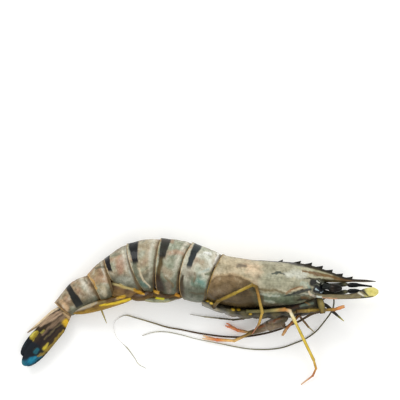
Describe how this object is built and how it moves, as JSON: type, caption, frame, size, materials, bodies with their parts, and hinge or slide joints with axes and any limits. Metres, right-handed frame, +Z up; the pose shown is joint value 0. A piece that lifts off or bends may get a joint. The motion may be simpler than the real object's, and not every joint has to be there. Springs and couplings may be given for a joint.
{
  "type": "raw tiger prawn",
  "caption": "Whole raw prawn lying on its side, with armoured tail plates, toothed rostrum, stalked eyes, long feelers, walking legs, swimming legs and a tail fan.",
  "frame": {"origin": "middle of the base of the bounding box, on the table the prawn lies on", "axes": "+X along the body to the head, +Y to the prawn's back, +Z up from the table to the flank that is shown"},
  "size_m": [0.1866, 0.077, 0.0289],
  "materials": {
    "shell": "wet, translucent olive beige",
    "tail": "wet, dark brown and blue",
    "leg": "glossy yellow to orange",
    "swimmer": "satin brown",
    "eye": "glossy near black",
    "antenna": "satin dark brown"
  },
  "bodies": {
    "root": {"abdomen_1": "shell", "abdomen_2": "shell", "abdomen_3": "shell", "abdomen_4": "shell", "abdomen_5": "shell", "abdomen_6": "shell", "antenna_left": "antenna", "antenna_right": "antenna", "antenna_stalk_left": "swimmer", "antenna_stalk_right": "swimmer", "antennal_scale_left": "shell", "antennal_scale_right": "shell", "antennule_left": "eye", "antennule_right": "eye", "carapace": "shell", "eye_left": "eye", "eye_right": "eye", "leg_1_left": "leg", "leg_1_right": "leg", "leg_2_left": "leg", "leg_2_right": "leg", "leg_3_left": "leg", "leg_3_right": "leg", "leg_4_left": "leg", "leg_4_right": "leg", "leg_5_left": "leg", "leg_5_right": "leg", "maxilliped_left": "antenna", "maxilliped_right": "antenna", "pleopod_1_left": "swimmer", "pleopod_1_right": "swimmer", "pleopod_2_left": "swimmer", "pleopod_2_right": "swimmer", "pleopod_3_left": "swimmer", "pleopod_3_right": "swimmer", "pleopod_4_left": "swimmer", "pleopod_4_right": "swimmer", "pleopod_5_left": "swimmer", "pleopod_5_right": "swimmer", "pleopod_tip": "swimmer", "telson": "tail", "thorax_underside": "shell", "uropod_endopod_left": "tail", "uropod_endopod_right": "tail", "uropod_exopod_left": "tail", "uropod_exopod_right": "tail"}
  },
  "joints": []
}
